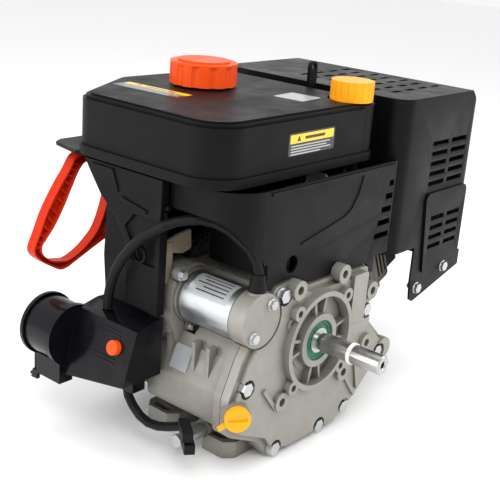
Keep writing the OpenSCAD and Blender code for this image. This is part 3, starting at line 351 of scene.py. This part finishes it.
def turned(name, prof, origin, axis, body, mat, steps=64, width=0.0):
    """A turned piece: a profile of (radius, height); radius 0 closes it on the axis."""
    axis = Vector(axis).normalized()
    rot = Vector((0, 0, 1)).rotation_difference(axis).to_matrix()
    o = Vector(origin)
    bm = bmesh.new()
    rings = []
    for r, h in prof:
        if r <= 0:
            rings.append([bm.verts.new((o + rot @ Vector((0, 0, h))) * MM)])
        else:
            ring = [Vector((r * math.cos(t), r * math.sin(t), h))
                    for t in [2 * math.pi * s / steps for s in range(steps)]]
            rings.append([bm.verts.new((o + rot @ p) * MM) for p in ring])
    for a, b in zip(rings, rings[1:]):
        for s in range(steps):
            n = (s + 1) % steps
            if len(a) == 1:
                bm.faces.new((a[0], b[s], b[n]))
            elif len(b) == 1:
                bm.faces.new((a[s], b[0], a[n]))
            else:
                bm.faces.new((a[s], a[n], b[n], b[s]))
    bmesh.ops.recalc_face_normals(bm, faces=bm.faces)
    return piece(name, mesh_of(bm, name), body, mat, width)


def block(name, lo, hi, body, mat, width, turn):
    """A box between two corners, turned about its middle by (axis, degrees)."""
    (x0, y0, z0), (x1, y1, z1) = lo, hi
    bm = bmesh.new()
    bmesh.ops.create_cube(bm, size=1.0)
    c = Vector(((x0 + x1) / 2, (y0 + y1) / 2, (z0 + z1) / 2))
    mtx = Matrix.Translation(c * MM) @ Matrix.Rotation(math.radians(turn[1]), 4, turn[0])
    mtx = mtx @ Matrix.Diagonal(((x1 - x0) * MM, (y1 - y0) * MM, (z1 - z0) * MM, 1))
    bm.transform(mtx)
    return piece(name, mesh_of(bm, name), body, mat, width)


def box_pts(w, h):
    """A w by h rectangle about its middle."""
    return [(-w / 2, -h / 2), (w / 2, -h / 2), (w / 2, h / 2), (-w / 2, h / 2)]


# ---------------------------------------------------------------- the parts
for name, node in NODES.items():
    mat, width = LOOK.get(name, ("black_plastic", 0))
    node.data.materials.clear()
    node.data.materials.append(MAT[mat])
    if width and name != "recoil_handle":
        refine(name, mat, width)

# Recoil handle: a channel bar with cross ribs, open toward the front between an outer and an
# inner rim. LOOP is plain mm in the frame's axes, not taken from the CAD handle.
LOOP = [  # outer x, z and inner x, z
    (-95, 151.6, -92, 143), (-106, 151.8, -99.5, 142), (-115.4, 148, -105, 140.5),
    (-123.6, 136, -111.5, 133), (-131, 126.5, -119.6, 118), (-141, 112, -128.5, 101),
    (-150, 97, -139, 84), (-158, 79, -149, 72), (-164.4, 64, -154.5, 65),
    (-161.5, 55.5, -153, 56.4), (-151, 47, -143.2, 48.5), (-134, 37, -131.5, 45.6),
    (-124.4, 36.8, -122, 44.7), (-112, 41.8, -109.4, 49.3), (-92, 50.5, -97, 57.5),
    (-75.4, 57.5, -84.5, 70), (-57, 66, -75.5, 90), (-54, 90, -71.5, 108), (-63, 122, -76, 127),
    (-79, 147, -84, 139),
]
HANDLE_Y0, HANDLE_Y1, FLOOR_Y = 228.0, 240.0, 235.5
RIM_OUTER, RIM_INNER = 2.3, 2.0
RIM_SINK = 0.4  # how far the rims and ribs reach into the floor
RIB_COUNT, RIB_FIRST, RIB_STEP = 12, 19, 4.1
RIB_THICK, RIB_HEIGHT, RIB_BITE = 1.7, 6.6, 0.6


def closed_curve(pts):
    """A smooth closed curve through the points."""
    out, n = [], len(pts)
    for i in range(n):
        a, b, c, d = (Vector(pts[(i + k - 1) % n]) for k in range(4))
        out += [spline(a, b, c, d, k / PER_SPAN) for k in range(PER_SPAN)]
    return out


def ring_piece(name, outer, inner, y0, y1, width):
    """The band between two closed curves, from y0 to y1."""
    bm = bmesh.new()
    sets = [[bm.verts.new(v(p.x, y, p.y)) for p in curve]
            for curve, y in ((outer, y0), (inner, y0), (inner, y1), (outer, y1))]
    n = len(outer)
    for a, b in zip(sets, sets[1:] + sets[:1]):
        for i in range(n):
            bm.faces.new((a[i], a[(i + 1) % n], b[(i + 1) % n], b[i]))
    bmesh.ops.recalc_face_normals(bm, faces=bm.faces)
    return piece(name, mesh_of(bm, name), "pull_handle", "red", width)


out_c = closed_curve([p[:2] for p in LOOP])
in_c = closed_curve([p[2:] for p in LOOP])
rim_out = [a + (b - a).normalized() * RIM_OUTER for a, b in zip(out_c, in_c)]
rim_in = [b - (b - a).normalized() * RIM_INNER for a, b in zip(out_c, in_c)]
base = ring_piece("handle_loop", out_c, in_c, FLOOR_Y, HANDLE_Y1, 0.9)
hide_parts("recoil_handle")
ring_piece("handle_rim_outer", out_c, rim_out, HANDLE_Y0, FLOOR_Y + RIM_SINK, 0.6)
ring_piece("handle_rim_inner", rim_in, in_c, HANDLE_Y0, FLOOR_Y + RIM_SINK, 0.6)
for k in range(RIB_COUNT):
    i = RIB_FIRST + round(k * RIB_STEP)
    a, b = rim_out[i] + (rim_out[i] - rim_in[i]).normalized() * RIB_BITE, rim_in[i]
    mid, span = (a + b) / 2, (b - a)
    slab(f"handle_rib_{k}", box_pts(span.length + 2 * RIB_BITE, RIB_THICK),
         (mid.x, FLOOR_Y + RIM_SINK, mid.y), (span.x, 0, span.y), (-span.y, 0, span.x),
         RIB_HEIGHT, "pull_handle", "red", 0.3)
turned("handle_boss", [(0, 0), (9, 0), (9, 12), (7, 15.4), (0, 15.4)], (-65, 228.2, 66),
       (0, 1, 0), "pull_handle", "red", 48, 0.8)

# Details that the CAD doesn't have.
PX, NY, PZ = (1, 0, 0), (0, -1, 0), (0, 0, 1)

# Fuel tank: labels made of plain bars, no words.
NECK_RISE = 10  # the tank's neck stands this far above its top
Z1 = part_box("fuel_tank")[1].z / MM - NECK_RISE
LABEL_Y, BAND_Y, INK_Y = 31.05, 30.8, 30.7  # backs of the front label's layers
SIGN = 2.8
LINE_SHARES = (0.94, 0.86, 0.97, 0.72)  # of the full length of a line


def text_lines(name, o, ux, uy, rows, w, h, gap):
    """Plain bars of uneven length, in place of printed lines."""
    ux, uy = Vector(ux).normalized(), Vector(uy).normalized()
    n = ux.cross(uy)
    for i in range(rows):
        k = w * LINE_SHARES[i]
        c = Vector(o) + uy * (-i * gap) + ux * ((k - w) / 2) + n * 0.28
        slab(f"{name}_{i}", box_pts(k, h), c, ux, uy, 0.06, "block", "grey_ink", 0)


slab("tank_front_label", box_pts(69, 21), (-4, LABEL_Y, 190), PX, PZ, 0.25, "block", "label",
     0.05, 2)
slab("tank_front_band", box_pts(65, 8), (-4, BAND_Y, 195), PX, PZ, 0.1, "block", "yellow", 0, 1)
slab("tank_front_sign", [(-SIGN, -SIGN * 0.8), (SIGN, -SIGN * 0.8), (0, SIGN)],
     (-24, INK_Y, 195), PX, PZ, 0.08, "block", "label", 0)
slab("tank_front_word", box_pts(30, 2.8), (0, INK_Y, 195), PX, PZ, 0.06, "block", "label", 0)
text_lines("tank_front_line", (-4, LABEL_Y, 188.4), PX, PZ, 4, 62, 1.2, 2.5)

# Left side: tank hoses, stepped lines of the side shroud, starter bracket.
HOSE_R = 1.6
SIDE_X, STEP_THICK = -129.2, 1.4
wire("tank_hose_front",
     [(-121.5, 129, 158), (-123, 122, 148), (-123.5, 113, 139), (-123.5, 107, 130),
      (-123.5, 106, 120), (-122, 107, 110)], HOSE_R, "block", "rubber")
wire("tank_hose_rear",
     [(-121.5, 124, 159), (-123, 117, 150), (-123.5, 108, 141), (-123.5, 100, 131),
      (-122.5, 96, 122), (-121, 95, 112)], HOSE_R, "block", "rubber")
block("hose_clip", (-124.5, 92, 127), (-118.5, 104, 131), "block", "rubber", 0.8, ("X", -28))
slab("side_step_upper", [(0, 0), (29, 0), (37, -18), (37, -21), (27.5, -3), (0, -3)],
     (SIDE_X, 188, 154), NY, PZ, STEP_THICK, "block", "black_plastic", 0.5)
slab("side_step_lower", [(0, 0), (34, -6), (34, -9), (0, -3)],
     (SIDE_X, 147, 131), NY, PZ, STEP_THICK, "block", "black_plastic", 0.5)
turned("side_boss_ring", [(6.5, 0), (6.5, 2.6), (9, 2.6), (9, 0)], (-131, 118, 84), (-1, 0, 0),
       "block", "black_plastic", 48, 0.5)
slab("bracket_plate", [(0, 0), (32, 6), (34, -14), (22, -17), (10, -14), (0, -12)],
     (-116, 104, 98), PX, PZ, 4, "block", "tan", 1.2, 3)
slab("bracket_post", box_pts(9, 40), (-112, 104, 76), PX, PZ, 5, "block", "tan", 1.2, 2)

# Front shroud: raised line, rim along its top.
slab("shroud_line",
     [(0, 0), (66, 14), (78, 20), (88, 34), (94, 52), (92, 52), (86, 35), (76.5, 21.5),
      (65.5, 15.6), (0, 1.6)],
     (-28, 15.1, 99), PX, PZ, 1.0, "block", "black_plastic", 0.45)
slab("shroud_rim", box_pts(196, 3), (22, 15.2, 154.5), PX, PZ, 1.6, "block", "black_plastic", 0.7)

# Switch box: ridges beside the button, and the pin of the inlet lid.
BOX_OUT = Vector((-0.954, 0, 0.299))  # out of the box's slanted face
BOX_UP = Vector((0.299, 0, 0.954))  # up along it
BUTTON = Vector((-156.4, 119, -2.4))
RIDGE_SHIFT = Vector((0, 12, 0))
for k, rise in enumerate((15, 11.2, -11.2, -15)):
    c = BUTTON + RIDGE_SHIFT + BOX_UP * rise
    slab(f"box_ridge_{k}", box_pts(30, 1.6), c - BOX_OUT * 0.4, NY, BOX_UP, 1.2, "block",
         "gloss_black", 0.4, 0.6)
HINGE_Y, HINGE_Z = 218.3, -60
wire("hinge_pin", [(x, HINGE_Y, HINGE_Z) for x in (-175.5, -166, -157)], 1.15, "socket_lid",
     "zinc")

# Electric starter: label, its lines, and the two bands round the can.
STARTER_X, STARTER_Z = -85, 41.3
LABEL_R, PRINT_R, BAND_R = 24.9, 24.95, 25.0
PATCH_THICK = 0.18


def can_patch(name, a0, a1, y0, y1, r, mat, steps=18):
    """A thin patch wrapped on the starter, between two angles and two y values."""
    bm = bmesh.new()
    angles = [math.radians(a0 + (a1 - a0) * i / steps) for i in range(steps + 1)]
    inner, outer = ([[bm.verts.new(v(STARTER_X + rr * math.cos(a), y, STARTER_Z + rr * math.sin(a)))
                      for y in (y0, y1)] for a in angles] for rr in (r, r + PATCH_THICK))
    for i in range(steps):
        bm.faces.new((outer[i][0], outer[i + 1][0], outer[i + 1][1], outer[i][1]))
        bm.faces.new((inner[i][0], inner[i][1], inner[i + 1][1], inner[i + 1][0]))
        for s in (0, 1):
            bm.faces.new((inner[i][s], inner[i + 1][s], outer[i + 1][s], outer[i][s]))
    for i in (0, steps):
        bm.faces.new((inner[i][0], outer[i][0], outer[i][1], inner[i][1]))
    bmesh.ops.recalc_face_normals(bm, faces=bm.faces)
    return piece(name, mesh_of(bm, name), "block", mat)


can_patch("starter_label", 92, 152, 33, 80, LABEL_R, "silver")
for k, end in enumerate((74, 70, 75, 66, 72)):
    can_patch(f"starter_print_{k}", 99 + k * 9.5, 101.6 + k * 9.5, 38, end, PRINT_R, "label", 3)
can_patch("starter_band_rear", 0, 359.9, 86.5, 88.6, BAND_R, "dark_steel", 72)
can_patch("starter_band_front", 0, 359.9, 25.3, 26.6, BAND_R, "dark_steel", 72)

# Crankcase: blank slanted sticker on the left wall.
slab("case_sticker", box_pts(21, 24), (-106.1, 83, -14.5), NY, (0.404, 0, 0.915), 0.5, "block",
     "silver", 0.1, 1.5)

# Hanging tag on the harness.
slab("lead_tag", [(0, 0), (-13, 1), (-24.5, -14), (-9, -17)], (-102.5, 133.4, -48.5), PX, PZ, 0.5,
     "block", "white_plastic", 0.1, 1)

# Tank top: label without words, and a blank sticker. TU runs along the label, TV across it.
TU, TV = (0.06, -0.995, 0), (0.995, 0.06, 0)
LABEL_Z, BAND_Z, INK_Z = Z1 - 0.03, Z1 + 0.15, Z1 + 0.2  # bottoms of the top label's layers
slab("tank_top_label", box_pts(84, 25), (-62, 182, LABEL_Z), TU, TV, 0.2, "block", "label",
     0.05, 2)
slab("tank_top_band", box_pts(80, 9), (-54.5, 182.5, BAND_Z), TU, TV, 0.06, "block", "yellow",
     0, 1)
slab("tank_top_sign", [(-3, -2.4), (3, -2.4), (0, 3)], (-54.5, 207, INK_Z), TU, TV, 0.05,
     "block", "label", 0)
slab("tank_top_word", box_pts(36, 3), (-54.5, 178, INK_Z), TU, TV, 0.05, "block", "label", 0)
for k, length in enumerate((76, 70, 78, 58)):
    slab(f"tank_top_line_{k}", box_pts(length, 1.3), (-61.5 - 3.1 * k, 182, BAND_Z), TU, TV, 0.05,
         "block", "grey_ink", 0)
slab("tank_sticker", box_pts(34, 34), (43, 88, LABEL_Z), (1, 0.1, 0), (-0.1, 1, 0), 0.2, "block",
     "silver", 0.05, 1.5)

# ---------------------------------------------------------------- stage
FLOOR_HALF, FLOOR_GAP = 6, 0.0005
floor = bpy.data.meshes.new("floor")
bm = bmesh.new()
bmesh.ops.create_grid(bm, x_segments=1, y_segments=1, size=FLOOR_HALF)
bm.to_mesh(floor)
bm.free()
ground = bpy.data.objects.new("floor", floor)
bpy.context.scene.collection.objects.link(ground)
ground.location = (0, 0, size_before[0][2] - FLOOR_GAP)
white = bpy.data.materials.new("pale_floor")
white.use_nodes = True
wp = white.node_tree.nodes["Principled BSDF"]
wp.inputs["Base Color"].default_value = (0.93, 0.93, 0.93, 1)
wp.inputs["Roughness"].default_value = 0.7
floor.materials.append(white)


def area(name, loc, target, size, power):
    """A rectangular light that points at target."""
    light = bpy.data.lights.new(name, "AREA")
    light.shape = "RECTANGLE"
    light.size, light.size_y = size
    light.energy = power
    o = bpy.data.objects.new(name, light)
    bpy.context.scene.collection.objects.link(o)
    o.location = loc
    o.rotation_euler = (Vector(target) - Vector(loc)).to_track_quat("-Z", "Y").to_euler()


area("key", (-1.0, -0.9, 1.5), (0, 0.1, 0.05), (1.2, 0.8), 17)
area("side", (1.3, -1.1, 0.8), (0.05, 0.05, 0), (0.8, 1.2), 9)
area("top", (0.1, 0.3, 1.7), (0, 0.1, 0), (1.4, 1.4), 12)
area("left_rim", (-1.5, 0.7, 0.5), (0, 0.1, 0), (0.6, 1.2), 8)
bpy.context.scene.view_settings.view_transform = "Standard"
WORLD_STRENGTH = 0.95
world = bpy.data.worlds.new("studio")
world.use_nodes = True
world.node_tree.nodes["Background"].inputs[0].default_value = (1, 1, 1, 1)
world.node_tree.nodes["Background"].inputs[1].default_value = WORLD_STRENGTH
bpy.context.scene.world = world

CAM_AZ, CAM_EL, CAM_ROLL = -50.727, 18.756, -4.443
CAM_AT = (-0.7163, -0.4884, 0.3798)
CAM_LENS = 70.55
az, el, roll = (math.radians(t) for t in (CAM_AZ, CAM_EL, CAM_ROLL))
back = Vector((math.sin(az) * math.cos(el), -math.cos(az) * math.cos(el), math.sin(el)))
right = Vector((math.cos(az), math.sin(az), 0))
up = back.cross(right)
X = right * math.cos(roll) - up * math.sin(roll)
Y = right * math.sin(roll) + up * math.cos(roll)
cam = bpy.data.cameras.new("camera")
cam.lens = CAM_LENS
cam.sensor_width = 36
eye = bpy.data.objects.new("camera", cam)
bpy.context.scene.collection.objects.link(eye)
rot = Matrix((X, Y, back)).transposed().to_4x4()
eye.matrix_world = Matrix.Translation(CAM_AT) @ rot
bpy.context.scene.camera = eye
